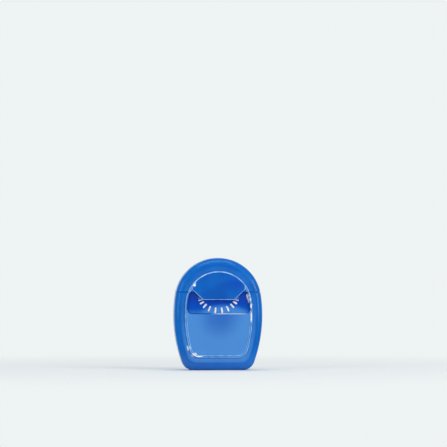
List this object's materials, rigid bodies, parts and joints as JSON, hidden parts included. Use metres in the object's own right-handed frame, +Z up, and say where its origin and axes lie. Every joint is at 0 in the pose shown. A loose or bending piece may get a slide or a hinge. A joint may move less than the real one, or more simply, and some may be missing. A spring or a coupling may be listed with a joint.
{
  "type": "dental floss dispenser",
  "caption": "Arch-shaped flip-top floss dispenser with a thumb scoop, a barrel-hinged lid, a floss cutter and a spool that turns inside the case.",
  "frame": {"origin": "centre of the bounding box's base: the case stands on its flat base", "axes": "+Z up through the arch's top, -Y out of the front face with the thumb scoop, +X to the right seen from the front"},
  "size_m": [0.0364, 0.013, 0.0462],
  "materials": {
    "case_plastic": "glossy moulded polypropylene, faintly translucent blue",
    "natural_plastic": "natural milky polypropylene, satin",
    "cutter_steel": "nickel-plated spring steel, stamped",
    "floss": "waxed multifilament floss"
  },
  "bodies": {
    "case": {"front_shell": "case_plastic", "back_shell": "case_plastic", "deck_insert": "natural_plastic", "cutter_blade": "cutter_steel", "floss_lead": "floss"},
    "lid": {"lid": "case_plastic"},
    "spool": {"spool_core": "natural_plastic", "floss_winding": "floss"}
  },
  "joints": [
    {"name": "lid_hinge", "type": "hinge", "parent": "case", "child": "lid", "pos_m": [0, 0.0051, 0.0322], "axis": [-1, 0, 0], "range_deg": [0, 110]},
    {"name": "spool_spin", "type": "hinge", "parent": "case", "child": "spool", "pos_m": [0, 0.00095, 0.01515], "axis": [0, 1, 0], "continuous": true}
  ]
}
